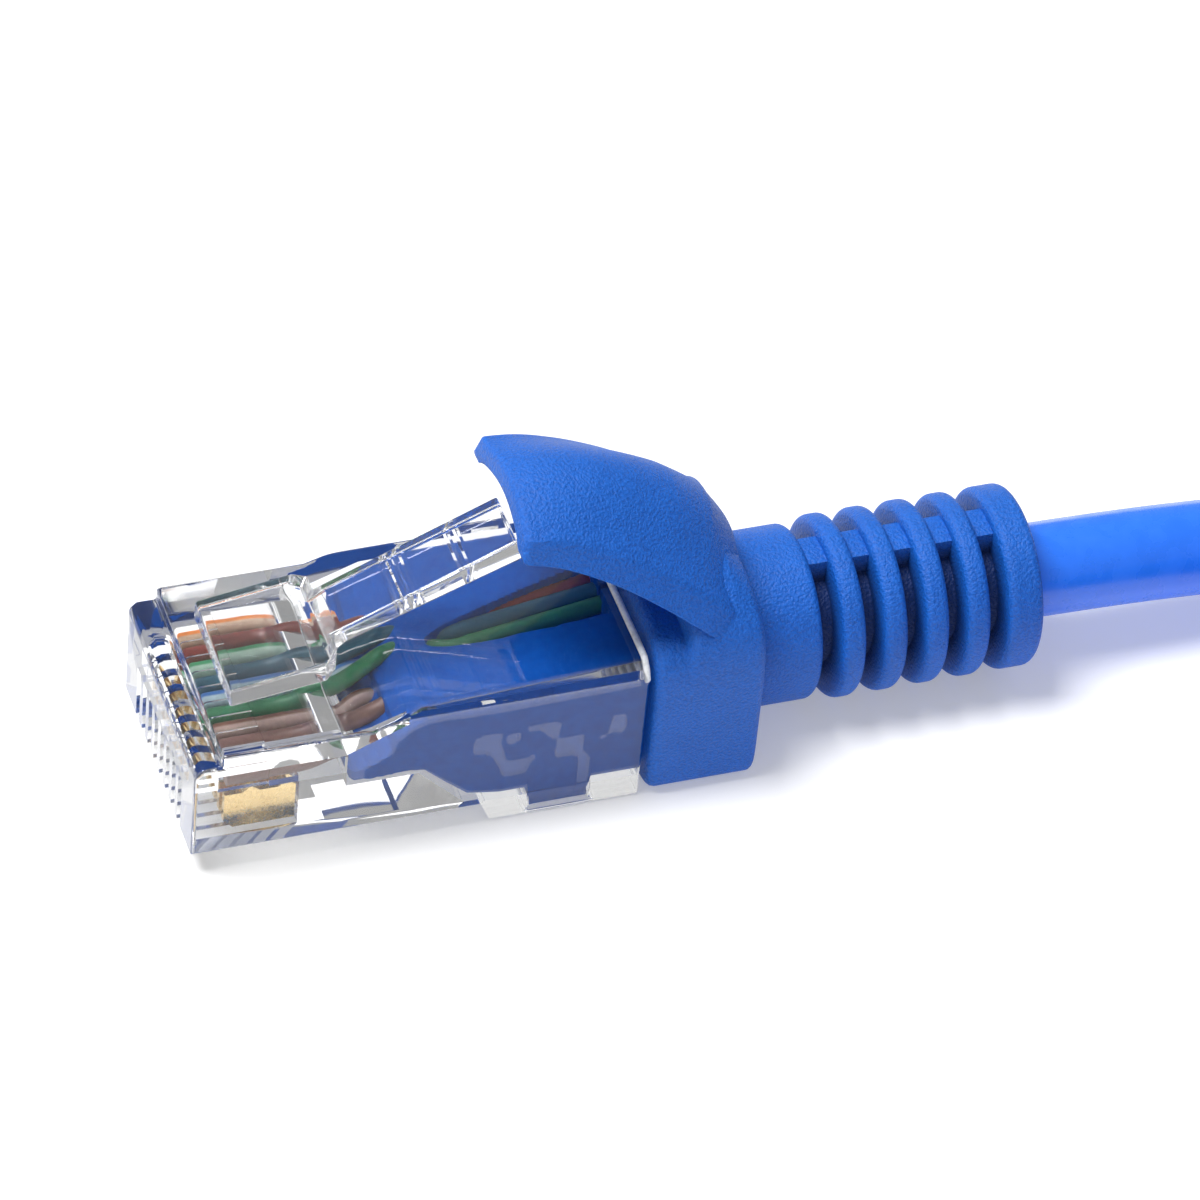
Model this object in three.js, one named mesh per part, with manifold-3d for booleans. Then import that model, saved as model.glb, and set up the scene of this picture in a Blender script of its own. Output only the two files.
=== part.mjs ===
// An ethernet patch cable: two clear eight-contact plugs with moulded snagless boots, joined by
// a round cable that is coiled and tied, with the second plug lying on the coil.
// Millimetres, +Z up. A plug's own X runs from its nose to its cable, its foot plane is Z = 0.
import * as THREE from 'three';
import { mergeVertices } from 'three/addons/utils/BufferGeometryUtils.js';
import Module from 'manifold-3d';

const wasm = await Module();
wasm.setup();

// ---- driving dimensions: clearances ----
const meetGap = 0.3;          // between pieces that meet or rest on each other
const slideGap = 0.12;        // between a contact and its slot
const tunnelGap = 0.04;       // between a conductor and its tunnel at the nose
const cutOver = 2;            // how far a cutting body runs past the face it cuts

// ---- driving dimensions: plug housing ----
const plugWidth = 11.68;
const plugLength = 21.7;
const noseUnder = 1.1;        // the contact face stands this far above the foot plane
const noseTop = 6.45;
const noseStep = 1.3;         // along X, where the top steps up behind the nose
const deckTop = 7.15;         // the face that the latch lies over
const rearTop = 8.2;
const topRampStart = 8.4;     // along X, where the top rises from nose height to rear height
const topRampLength = 2.3;
const footLength = 7.3;       // from the housing's rear face
const footSlope = 0.5;
const noseChamfer = 0.35;
const shoulderChamfer = 0.75;
const housingWall = 0.9;
const noseWall = 1.4;
const pocketStart = 7.4;      // where the wire channel opens into the jacket pocket
const pocketThroat = 3.5;     // length over which the pocket widens upward
const pocketFrontFloor = 3.5;
const pocketFrontTop = 5.5;
const throatDrop = 0.1;       // the pocket's roof under the deck, behind the throat
const floorRampLength = 2.5;  // length over which the pocket's floor drops to the foot
const reliefBack = 2.3;       // the strain relief window's distance from the rear face
const reliefLength = 3.1;
const reliefWidth = 10.4;

// ---- driving dimensions: contacts and conductors ----
const wireCount = 8;
const wirePitch = 1.02;
const bladeThickness = 0.32;
const bladeLength = 3.4;
const bladeFront = 1.8;
const bladeRise = 2.1;        // height of the blade's solid edge
const bladeRecess = 0.3;      // the blade's lower edge sits this far inside the contact face
const toothDepth = 0.45;
const tunnelWall = 0.08;      // between neighbouring tunnels
const conductorSides = 8;
const conductorFront = 1.8;
const tunnelLength = 2.4;     // each conductor has a tunnel of its own behind the nose wall

// ---- driving dimensions: latch ----
const latchFront = 2.35;
const headLength = 5.2;
const headWidth = 6.2;
const headThickness = 1.05;
const headSlope = 8;          // degrees
const tabWidth = 3.2;
const tabThickness = 1.15;
const tabTuck = 0.85;         // the tab reaches this far under the hood
const tabTipGap = 0.7;        // from the tab's tip up to the hood
const shoulderRound = 0.6;
const tabStep = 0.7;          // the tab's underside steps up over this length behind the head

// ---- driving dimensions: boot ----
const collarLength = 5.4;
const collarProud = 0.26;     // the collar stands proud of the housing's sides
const collarOverTop = 0.9;
const collarEdge = 0.6;
const hoodRise = 15.7;        // height of the hood's front edge above the foot plane
const hoodReach = 7.9;        // from the bending line to the hood's front edge
const hoodWidth = 7.3;
const hoodRootWidth = 8.6;
const hoodThickness = 1.5;
const hingeGap = 0.6;         // open width at the hood's root, where it bends
const hoodRootInset = 1.6;    // from the collar's front face to the bending line
const hoodRootOverCollar = 2.95;
const hoodLift = 0.15;        // the hood's root above the bending line
const archFrom = 4.4;         // the hood's arch turns this far behind its front edge
const archDrop = 0.1;         // and its underside sags this much there
const rootShoulder = 2.6;     // the block behind the hood, above the collar's top
const rootHeel = 0.8;         // its lowest edge, above the collar's top at the back
const rootInset = 0.1;         // the root block's top stands this far under the hood's
const rootLean = 1.3;         // how far its back leans forward
const neckLength = 3.67;
const neckRadius = 4.2;
const ringCount = 5;
const ringPitch = 2.08;
const ringThickness = 1.15;
const lastRingThickness = 1.75;
const ringRadius = 4.4;
const coreWall = 0.48;
const bridgeWidth = 2.2;
const bridgeDrop = 0.5;       // from a ring's rim down to a bridge's top
const roundSides = 28;

// ---- driving dimensions: cable ----
const cableDiameter = 4.6;
const cableSides = 12;
const axisHeight = 4.45;      // the cable's centre above the foot plane
const flatRoom = 0.64;        // beside the jacket where the plug crimps it flat
const flatHeight = 3.4;
const flatStart = 12.1;       // where the stripped jacket begins
const flatBack = 1.5;         // the flat stretch ends this far inside the housing
const coilEntryGap = 0.35;    // along the cable, from its free stretch to the coil
const coilMeanRadius = 26.8;
const turnGap = 0.1;
const bottomTurns = 3;
const topTurns = 2;
const coilSegments = 56;
const tieThickness = 0.6;
const tieWidth = 6;
const tieAngle = 240;         // degrees round the coil
const farPlugOffset = 17;     // the far plug's axis from the coil's centre, along X
const farPlugEnd = 8;         // where the far boot ends, from the coil's centre, along Y

// ---- worked out from the driving dimensions ----
const conductorDiameter = wirePitch - tunnelWall - 2 * tunnelGap;
const footStart = plugLength - footLength;
const reliefStart = plugLength - reliefBack - reliefLength;
const collarWidth = plugWidth + 2 * collarProud;
const collarHeight = rearTop + collarOverTop;
const coreRadius = cableDiameter / 2 + slideGap + coreWall;
const flatWidth = plugWidth - 2 * (housingWall + flatRoom);
const flatEnd = plugLength - flatBack;
const turnPitch = cableDiameter + turnGap;
const collarFront = plugLength + meetGap;
const collarBack = collarFront + collarLength;
const neckEnd = collarBack + neckLength;
const ringStart = neckEnd + ringPitch - ringThickness;
const lastRingStart = ringStart + (ringCount - 1) * ringPitch;
const bootEnd = lastRingStart + lastRingThickness;
const hoodRootX = collarFront + hoodRootInset;
const hoodRootZ = collarHeight + hoodRootOverCollar;
const hoodFront = hoodRootX - hoodReach;
const channelHalf = (wireCount * wirePitch) / 2 + slideGap;
const channelFloor = noseUnder + bladeRecess + bladeRise + toothDepth;
const channelTop = channelFloor + conductorDiameter + 2 * slideGap;
const conductorHeight = channelFloor + slideGap + conductorDiameter / 2;
const coilFloor = tieThickness + meetGap;
const bottomLayer = coilFloor + cableDiameter / 2;
const topLayer = bottomLayer + turnPitch * Math.sin(Math.PI / 3);
const coilTop = topLayer + cableDiameter / 2;
const farAxis = coilTop + meetGap + axisHeight;

// The cable's stretch from the near boot to the coil, from the boot's end at the cable's axis.
const runRoute = [
  [meetGap, 0, 0], [2.93, 0, -0.05], [5.93, 0, -0.15], [8.93, 0, -0.33],
  [11.93, 0, -0.59], [14.93, 0, -0.87], [17.53, 0, -1.07],
];
// The cable's stretch from the coil's top to the far boot, from the coil's centre at that boot's axis.
const tailRoute = [
  [6.47, 28.15, -1.9], [10.18, 26.22, -1.25], [13.26, 23.39, -0.68], [15.5, 19.87, -0.27],
  [16.76, 15.89, -0.05], [17, 13.11, 0], [17, 10.6, 0], [17, farPlugEnd + meetGap, 0],
];

// The outermost lower turn runs in line with the plug, and the coil starts where that stretch ends.
const runEnd = bootEnd + runRoute.at(-1)[0];
const outerTurn = coilMeanRadius + (turnPitch * (bottomTurns - 1)) / 2;
const coilOuter = coilMeanRadius + (turnPitch * bottomTurns) / 2;
const coilX = runEnd + coilEntryGap + Math.sqrt(coilOuter ** 2 - (outerTurn - cableDiameter / 2) ** 2);
const coilY = -outerTurn;

// ---- materials ----
function material(color, roughness, metalness = 0) {
  return new THREE.MeshStandardMaterial({ color, roughness, metalness });
}
const clearPlastic = () => material('#eef1f4', 0.12);
const bootRubber = () => material('#2a5fd6', 0.6);
const cableJacket = () => material('#2a60e6', 0.3);
const goldPlate = () => material('#d9b25a', 0.25, 1);
const tieCloth = () => material('#1d1f24', 0.85);
const wireColours = [
  '#d98a4a', '#d8703a', '#8fbfa6', '#3f6fae', '#9fb9cf', '#3f8f68', '#b99a8c', '#8a6a5c',
];

// ---- solids: closed meshes to manifold solids and back ----
function toSolid(geometry) {
  geometry.deleteAttribute('normal');
  geometry.deleteAttribute('uv');
  const merged = mergeVertices(geometry, 1e-4);
  const vertProperties = Float32Array.from(merged.attributes.position.array);
  const triVerts = Uint32Array.from(merged.index.array);
  return new wasm.Manifold(new wasm.Mesh({ numProp: 3, vertProperties, triVerts }));
}

function toGeometry(solid) {
  const mesh = solid.getMesh();
  const geometry = new THREE.BufferGeometry();
  geometry.setAttribute('position', new THREE.BufferAttribute(mesh.vertProperties, 3));
  geometry.setIndex(new THREE.BufferAttribute(mesh.triVerts, 1));
  geometry.computeVertexNormals();
  return geometry;
}

function outline(points) {
  return new THREE.Shape(points.map(([u, v]) => new THREE.Vector2(u, v)));
}

// A side outline in X and Z, extruded across the width between two Y values.
function acrossY(shape, yFrom, yTo) {
  const geometry = new THREE.ExtrudeGeometry(shape, {
    depth: yTo - yFrom, bevelEnabled: false, curveSegments: 6,
  });
  geometry.rotateX(Math.PI / 2);
  geometry.translate(0, yTo, 0);
  return toSolid(geometry);
}

// A plan outline in X and Y, extruded upward between two Z values.
function upZ(shape, zFrom, zTo) {
  const geometry = new THREE.ExtrudeGeometry(shape, {
    depth: zTo - zFrom, bevelEnabled: false, curveSegments: 6,
  });
  geometry.translate(0, 0, zFrom);
  return toSolid(geometry);
}

// An end outline in Y and Z, extruded along the length between two X values.
function alongX(shape, xFrom, xTo) {
  const geometry = new THREE.ExtrudeGeometry(shape, {
    depth: xTo - xFrom, bevelEnabled: false, curveSegments: 6,
  });
  const turn = new THREE.Matrix4().makeBasis(
    new THREE.Vector3(0, 1, 0), new THREE.Vector3(0, 0, 1), new THREE.Vector3(1, 0, 0));
  geometry.applyMatrix4(turn);
  geometry.translate(xFrom, 0, 0);
  return toSolid(geometry);
}

function block(xFrom, xTo, yFrom, yTo, zFrom, zTo) {
  const geometry = new THREE.BoxGeometry(xTo - xFrom, yTo - yFrom, zTo - zFrom);
  geometry.translate((xFrom + xTo) / 2, (yFrom + yTo) / 2, (zFrom + zTo) / 2);
  return toSolid(geometry);
}

// A round solid about the cable's axis, from a profile of [x, radius] points.
function roundAboutAxis(profile) {
  const points = profile.map(([x, radius]) => new THREE.Vector2(radius, x));
  const geometry = new THREE.LatheGeometry(points, roundSides);
  geometry.rotateZ(-Math.PI / 2);
  geometry.translate(0, 0, axisHeight);
  return toSolid(geometry);
}

function tubeAlong(points, diameter, sides, steps) {
  const section = new THREE.Shape();
  for (let i = 0; i < sides; i += 1) {
    const angle = (2 * Math.PI * i) / sides;
    const u = (diameter / 2) * Math.cos(angle);
    const v = (diameter / 2) * Math.sin(angle);
    if (i === 0) section.moveTo(u, v);
    else section.lineTo(u, v);
  }
  const path = new THREE.CatmullRomCurve3(points.map(([x, y, z]) => new THREE.Vector3(x, y, z)));
  return new THREE.ExtrudeGeometry(section, { steps, bevelEnabled: false, extrudePath: path });
}

function piece(name, geometry, look) {
  const mesh = new THREE.Mesh(geometry, look);
  mesh.name = name;
  return mesh;
}

const wireY = (index) => (index - (wireCount - 1) / 2) * wirePitch;

// ---- plug housing: one clear moulding with a jacket pocket, wire channel and contact slots ----
function housingGeometry() {
  const rampEnd = topRampStart + topRampLength;
  const side = outline([
    [0, noseUnder], [0, noseTop - noseChamfer], [noseChamfer, noseTop], [noseStep, noseTop],
    [noseStep, deckTop], [topRampStart, deckTop], [rampEnd, rearTop - housingWall / 3],
    [plugLength, rearTop], [plugLength, 0], [footStart, 0], [footStart - footSlope, noseUnder],
  ]);
  const half = plugWidth / 2;
  const end = outline([
    [-half, -cutOver], [half, -cutOver], [half, rearTop - shoulderChamfer],
    [half - shoulderChamfer, rearTop], [half - shoulderChamfer, rearTop + cutOver],
    [shoulderChamfer - half, rearTop + cutOver], [shoulderChamfer - half, rearTop],
    [-half, rearTop - shoulderChamfer],
  ]);
  let solid = acrossY(side, -half, half).intersect(alongX(end, -cutOver, plugLength + cutOver));
  const pocketHalf = half - housingWall;
  const throatEnd = pocketStart + pocketThroat;
  const back = plugLength + cutOver;
  solid = solid.subtract(acrossY(outline([
    [pocketStart, pocketFrontFloor], [throatEnd, pocketFrontFloor],
    [throatEnd + floorRampLength, housingWall], [back, housingWall], [back, rearTop - housingWall],
    [throatEnd, deckTop - throatDrop], [pocketStart, pocketFrontTop],
  ]), -pocketHalf, pocketHalf));
  const tunnelEnd = noseWall + tunnelLength;
  const tunnelFloor = conductorHeight - conductorDiameter / 2 - tunnelGap;
  const tunnelTop = conductorHeight + conductorDiameter / 2 + tunnelGap;
  const tunnelHalf = conductorDiameter / 2 + tunnelGap;
  solid = solid.subtract(block(tunnelEnd, pocketStart + cutOver / 2, -channelHalf, channelHalf,
    channelFloor, channelTop));
  const slotHalf = bladeThickness / 2 + slideGap;
  for (let i = 0; i < wireCount; i += 1) {
    solid = solid.subtract(block(-cutOver, bladeFront + bladeLength + slideGap,
      wireY(i) - slotHalf, wireY(i) + slotHalf, -cutOver, tunnelFloor + tunnelGap));
    solid = solid.subtract(block(noseWall, tunnelEnd + slideGap, wireY(i) - tunnelHalf,
      wireY(i) + tunnelHalf, tunnelFloor, tunnelTop));
  }
  return toGeometry(solid.subtract(block(reliefStart, reliefStart + reliefLength,
    -reliefWidth / 2, reliefWidth / 2, -cutOver, housingWall + slideGap)));
}

// ---- contact blade: a flat stamping with teeth that pierce the conductor ----
function contactGeometry(index) {
  const foot = noseUnder + bladeRecess;
  const edge = foot + bladeRise;
  const tip = channelFloor - slideGap;
  const back = bladeFront + bladeLength;
  const toothWidth = bladeLength / 4;
  const side = outline([
    [bladeFront + toothDepth, foot], [back, foot], [back, edge],
    [back - toothWidth / 2, tip], [back - toothWidth, edge],
    [bladeFront + 2 * toothWidth, edge], [bladeFront + 1.5 * toothWidth, tip],
    [bladeFront + toothWidth, edge], [bladeFront, edge], [bladeFront, foot + toothDepth],
  ]);
  const y = wireY(index);
  return toGeometry(acrossY(side, y - bladeThickness / 2, y + bladeThickness / 2));
}

// ---- insulated conductor, straight in its channel ----
function conductorGeometry(index) {
  const y = wireY(index);
  const back = flatStart - meetGap;
  const points = [];
  for (let step = 0; step <= 3; step += 1) {
    points.push([conductorFront + ((back - conductorFront) * step) / 3, y, conductorHeight]);
  }
  return tubeAlong(points, conductorDiameter, conductorSides, 3);
}

// ---- cable end: flattened in the plug, round through the boot ----
function cableEndGeometry() {
  const corner = flatHeight / 2;
  const straight = flatWidth / 2 - corner;
  const end = new THREE.Shape();
  end.absarc(straight, axisHeight, corner, -Math.PI / 2, Math.PI / 2, false);
  end.absarc(-straight, axisHeight, corner, Math.PI / 2, (3 * Math.PI) / 2, false);
  const flat = alongX(end, flatStart, flatEnd);
  const radius = cableDiameter / 2;
  const round = roundAboutAxis([[flatEnd - 1, 0], [flatEnd - 1, radius], [bootEnd, radius],
    [bootEnd, 0]]);
  return toGeometry(flat.add(round));
}

// ---- latch: a wide stepped head at the nose and a narrow release tab rising to the rear ----
function latchGeometry() {
  const headRise = Math.tan(THREE.MathUtils.degToRad(headSlope)) * headLength;
  const foot = deckTop + meetGap;
  const headEnd = latchFront + headLength;
  const tabEnd = hoodFront + tabTuck;
  const tipTop = hoodRise - hoodThickness - tabTipGap;
  const headBack = foot + headRise;
  const side = outline([
    [latchFront, foot], [headEnd, headBack], [headEnd + tabStep, headBack + tabStep],
    [tabEnd, tipTop - tabThickness], [tabEnd - tabThickness / 3, tipTop],
    [headEnd - tabStep, headBack + headThickness], [latchFront, foot + headThickness],
  ]);
  const plan = outline([
    [latchFront - 1, -headWidth / 2], [headEnd - shoulderRound, -headWidth / 2],
    [headEnd, shoulderRound - headWidth / 2], [headEnd, -tabWidth / 2],
    [tabEnd + 1, -tabWidth / 2], [tabEnd + 1, tabWidth / 2], [headEnd, tabWidth / 2],
    [headEnd, headWidth / 2 - shoulderRound], [headEnd - shoulderRound, headWidth / 2],
    [latchFront - 1, headWidth / 2],
  ]);
  const solid = acrossY(side, -headWidth, headWidth);
  return toGeometry(solid.intersect(upZ(plan, 0, hoodRise)));
}

// ---- boot: collar block, smooth neck and ribbed sleeve round the cable ----
function bootGeometry() {
  const rootFront = hoodRootX + hingeGap / 2;
  const rootTop = hoodRootZ + hoodThickness / 2 - rootInset;
  const rootUnder = hoodRootZ - hoodThickness / 2 - 2 * rootInset;
  const side = outline([
    [collarFront, 0], [collarBack - collarEdge, 0], [collarBack, collarEdge],
    [collarBack, collarHeight + rootHeel], [collarBack - rootLean, collarHeight + rootShoulder],
    [rootFront, rootTop], [rootFront, rootUnder], [rootFront - rootLean / 2, collarHeight],
    [collarFront, collarHeight - collarEdge],
  ]);
  const half = collarWidth / 2;
  const rootHalf = hoodRootWidth / 2;
  const rootFlare = (half - rootHalf) / 6;
  const shoulderLow = collarHeight - 2 * collarEdge;
  const shoulderHigh = collarHeight + collarEdge / 2;
  const end = outline([
    [collarEdge - half, -cutOver], [half - collarEdge, -cutOver], [half - collarEdge, 0],
    [half, collarEdge], [half, shoulderLow], [rootHalf + rootFlare, shoulderHigh],
    [rootHalf, hoodRise], [-rootHalf, hoodRise], [-rootHalf - rootFlare, shoulderHigh],
    [-half, shoulderLow], [-half, collarEdge], [collarEdge - half, 0],
  ]);
  let solid = acrossY(side, -half, half).intersect(alongX(end, 0, bootEnd));
  const neckStart = collarBack - collarLength / 3;
  const profile = [[neckStart, 0], [neckStart, neckRadius], [neckEnd, neckRadius],
    [neckEnd, coreRadius]];
  for (let i = 0; i < ringCount; i += 1) {
    const from = ringStart + i * ringPitch;
    const to = from + (i === ringCount - 1 ? lastRingThickness : ringThickness);
    profile.push([from, coreRadius], [from, ringRadius], [to, ringRadius]);
    if (i < ringCount - 1) profile.push([to, coreRadius]);
  }
  profile.push([bootEnd, 0]);
  solid = solid.add(roundAboutAxis(profile));
  const bridgeReach = ringRadius - bridgeDrop;
  const bridgeFrom = neckEnd - ringThickness / 2;
  const bridgeTo = bootEnd - ringThickness / 2;
  solid = solid.add(block(bridgeFrom, bridgeTo, -bridgeWidth / 2, bridgeWidth / 2,
    axisHeight - bridgeReach, axisHeight + bridgeReach));
  const boreRadius = cableDiameter / 2 + slideGap;
  const bore = roundAboutAxis([[collarFront - cutOver, 0], [collarFront - cutOver, boreRadius],
    [bootEnd + cutOver, boreRadius], [bootEnd + cutOver, 0]]);
  return toGeometry(solid.subtract(bore));
}

// ---- boot hood: the springy flap that arches forward over the latch tab ----
function hoodGeometry() {
  const rootBack = hoodRootX - hingeGap / 2;
  const rootTop = hoodRootZ + hoodThickness / 2 + hoodLift;
  const rootUnder = hoodRootZ - hoodThickness / 2 + hoodLift;
  const side = new THREE.Shape();
  side.moveTo(hoodFront, hoodRise - hoodThickness);
  side.quadraticCurveTo(hoodFront + archFrom, hoodRise - hoodThickness - archDrop, rootBack, rootUnder);
  side.lineTo(rootBack, rootTop);
  side.quadraticCurveTo(hoodFront + archFrom, hoodRise + 2 * archDrop, hoodFront, hoodRise);
  const plan = outline([
    [hoodFront - 1, -hoodWidth / 2], [hoodFront + 2, -hoodWidth / 2],
    [hoodRootX, -hoodRootWidth / 2], [hoodRootX, hoodRootWidth / 2],
    [hoodFront + 2, hoodWidth / 2], [hoodFront - 1, hoodWidth / 2],
  ]);
  return toGeometry(acrossY(side, -hoodRootWidth, hoodRootWidth).intersect(
    upZ(plan, 0, hoodRise + cutOver)));
}

// ---- one complete end of the cable ----
function cableEndGroup(end) {
  const group = new THREE.Group();
  group.add(piece(`plug_housing_${end}`, housingGeometry(), clearPlastic()));
  group.add(piece(`latch_tab_${end}`, latchGeometry(), clearPlastic()));
  for (let i = 0; i < wireCount; i += 1) {
    const pin = wireCount - i;
    group.add(piece(`contact_${end}_${pin}`, contactGeometry(i), goldPlate()));
    group.add(piece(`conductor_${end}_${pin}`, conductorGeometry(i),
      material(wireColours[pin - 1], 0.45)));
  }
  group.add(piece(`crimped_jacket_${end}`, cableEndGeometry(), cableJacket()));
  group.add(piece(`boot_${end}`, bootGeometry(), bootRubber()));
  group.add(piece(`boot_hood_${end}`, hoodGeometry(), bootRubber()));
  return group;
}

// ---- coil: the outer shape of the wound turns, three below and two nested on top ----
function coilOutline(grow) {
  const lowHalf = (bottomTurns * turnPitch) / 2 + grow;
  const highHalf = (topTurns * turnPitch) / 2 + grow;
  const low = coilFloor - grow;
  const high = coilTop + grow;
  return [
    [coilMeanRadius - lowHalf, low], [coilMeanRadius + lowHalf, low],
    [coilMeanRadius + lowHalf, bottomLayer + 1], [coilMeanRadius + highHalf, high],
    [coilMeanRadius - highHalf, high], [coilMeanRadius - lowHalf, bottomLayer + 1],
  ];
}

function coilGeometry() {
  const points = coilOutline(0).map(([radius, z]) => new THREE.Vector2(radius, z));
  points.push(points[0].clone());
  const geometry = new THREE.LatheGeometry(points, coilSegments);
  geometry.rotateX(Math.PI / 2);
  return geometry;
}

function tieGeometry() {
  const around = outline(coilOutline(meetGap + tieThickness));
  const inner = acrossY(outline(coilOutline(meetGap)), -tieWidth, tieWidth);
  return toGeometry(acrossY(around, -tieWidth / 2, tieWidth / 2).subtract(inner));
}

// ---- assembly: the origin is under the middle of the near plug and boot ----
const cable = new THREE.Group();
cable.position.x = -bootEnd / 2;
cable.add(cableEndGroup('a'));

const farEnd = cableEndGroup('b');
farEnd.rotation.z = Math.PI / 2;
farEnd.position.set(coilX + farPlugOffset, coilY + farPlugEnd - bootEnd, coilTop + meetGap);
cable.add(farEnd);

const coil = new THREE.Group();
coil.position.set(coilX, coilY, 0);
coil.add(piece('cord_coil', coilGeometry(), cableJacket()));
const tie = piece('cord_tie', tieGeometry(), tieCloth());
tie.rotation.z = THREE.MathUtils.degToRad(tieAngle);
coil.add(tie);
cable.add(coil);

const run = piece('cord_run', tubeAlong(runRoute, cableDiameter, cableSides, 6), cableJacket());
run.position.set(bootEnd, 0, axisHeight);
cable.add(run);
const tail = piece('cord_tail', tubeAlong(tailRoute, cableDiameter, cableSides, 14), cableJacket());
tail.position.set(coilX, coilY, farAxis);
cable.add(tail);

export default cable;
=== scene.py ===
# Ethernet patch cable: the looks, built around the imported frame.
import bmesh
import bpy
import numpy as np
from mathutils import Matrix, Vector


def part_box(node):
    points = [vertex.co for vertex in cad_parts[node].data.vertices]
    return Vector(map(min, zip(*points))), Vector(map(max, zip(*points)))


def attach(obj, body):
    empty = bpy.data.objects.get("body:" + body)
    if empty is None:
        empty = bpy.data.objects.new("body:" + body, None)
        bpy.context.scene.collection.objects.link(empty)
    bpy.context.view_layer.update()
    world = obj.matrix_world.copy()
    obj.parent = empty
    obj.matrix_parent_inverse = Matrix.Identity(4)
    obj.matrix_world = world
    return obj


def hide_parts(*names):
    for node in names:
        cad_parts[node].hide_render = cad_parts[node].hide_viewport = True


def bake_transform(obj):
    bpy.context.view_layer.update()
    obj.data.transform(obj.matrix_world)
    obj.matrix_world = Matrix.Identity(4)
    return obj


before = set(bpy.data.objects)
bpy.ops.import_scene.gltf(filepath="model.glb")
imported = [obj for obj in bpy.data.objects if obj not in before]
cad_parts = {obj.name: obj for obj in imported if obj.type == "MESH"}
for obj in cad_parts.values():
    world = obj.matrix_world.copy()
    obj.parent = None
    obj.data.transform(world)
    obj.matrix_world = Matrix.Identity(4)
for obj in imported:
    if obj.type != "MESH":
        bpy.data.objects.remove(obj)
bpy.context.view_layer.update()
mm = 0.001
ends = ("a", "b")
print("frame loaded:", len(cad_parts), "nodes")


# Placing: an end's own millimetres have the nose at 0, the cable along +X and the foot at Z = 0.
# The nose is the middle of the housing's low face along its cable direction, on its foot plane.
# End a is the near one and end b the far one.
def noseOf(end):
    low, high = np.array(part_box("plug_housing_" + end))
    middle = (low + high) / 2
    return np.array([low[0], middle[1], low[2]] if end == "a" else [middle[0], low[1], low[2]])


# Millimetres are scaled to metres, turned a quarter about Z at the far end, and moved to the nose.
def toFrame(points, end):
    x, y, z = np.moveaxis(np.asarray(points, float) * mm, -1, 0)
    turned = (x, y, z) if end == "a" else (-y, x, z)
    return np.stack(turned, -1) + noseOf(end)


# The camera's place is given by angles in degrees, its distance in metres and its aim in millimetres.
cameraValues = {
    "azimuth": -21.9, "elevation": 43.0, "roll": 5.8, "distance": 0.3262, "focal": 210.0,
    "aimAlong": 21.14, "aimHeight": 7.27, "filmWidth": 36, "nearest": 0.01,
}


# The camera stands at its azimuth, elevation and distance from the aim point and is rolled about its view.
def makeCamera(values):
    aim = toFrame([values["aimAlong"], 0, values["aimHeight"]], "a")
    azimuth, elevation, roll = np.radians([values["azimuth"], values["elevation"], values["roll"]])
    level = np.cos(elevation)
    back = np.array([np.sin(azimuth) * level, -np.cos(azimuth) * level, np.sin(elevation)])
    across = np.array([np.cos(azimuth), np.sin(azimuth), 0])
    upright = np.cross(back, across)
    right = across * np.cos(roll) + upright * np.sin(roll)
    up = upright * np.cos(roll) - across * np.sin(roll)
    turn = Matrix((right, up, back)).transposed().to_4x4()
    data = bpy.data.cameras.new("camera")
    data.lens = values["focal"]
    data.sensor_width = values["filmWidth"]
    data.clip_start = values["nearest"]
    camera = bpy.data.objects.new("camera", data)
    camera.matrix_world = Matrix.Translation(Vector(aim + back * values["distance"])) @ turn
    bpy.context.scene.collection.objects.link(camera)
    bpy.context.scene.camera = camera


makeCamera(cameraValues)
print("camera placed")


# A new material with its Principled BSDF; plain values are set on the shader's own sockets.
def newMaterial(name, **values):
    material = bpy.data.materials.new(name)
    material.use_nodes = True
    shader = material.node_tree.nodes["Principled BSDF"]
    for key, value in values.items():
        shader.inputs[key].default_value = (*value, 1.0) if isinstance(value, tuple) else value
    return material, material.node_tree, shader


# A node with its input values and links set; inputs are given by name or number.
def addNode(tree, kind, inputs=None, **settings):
    node = tree.nodes.new(kind)
    for key, value in settings.items():
        setattr(node, key, value)
    for key, value in (inputs or {}).items():
        if isinstance(value, bpy.types.NodeSocket):
            tree.links.new(value, node.inputs[key])
        else:
            node.inputs[key].default_value = value
    return node


# A group with named float, colour or vector sockets, ready for its own nodes.
def newGroup(name, inputs, outputs):
    group = bpy.data.node_groups.new(name, "ShaderNodeTree")
    for label, kind, value in inputs:
        socket = group.interface.new_socket(label, in_out="INPUT", socket_type="NodeSocket" + kind)
        if value is not None:
            socket.default_value = value
    for label, kind in outputs:
        group.interface.new_socket(label, in_out="OUTPUT", socket_type="NodeSocket" + kind)
    return group, group.nodes.new("NodeGroupInput").outputs, group.nodes.new("NodeGroupOutput")


# Noise sizes are waves per metre, and the depth is in metres.
grainValues = {
    "grainSize": 9000.0, "mottleSize": 400.0, "grainDetail": 3.0, "mottleDetail": 4.0,
    "speckleFrom": 0.35, "speckleTo": 0.65, "roughSpread": 0.06, "depth": 0.00014,
}


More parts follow.
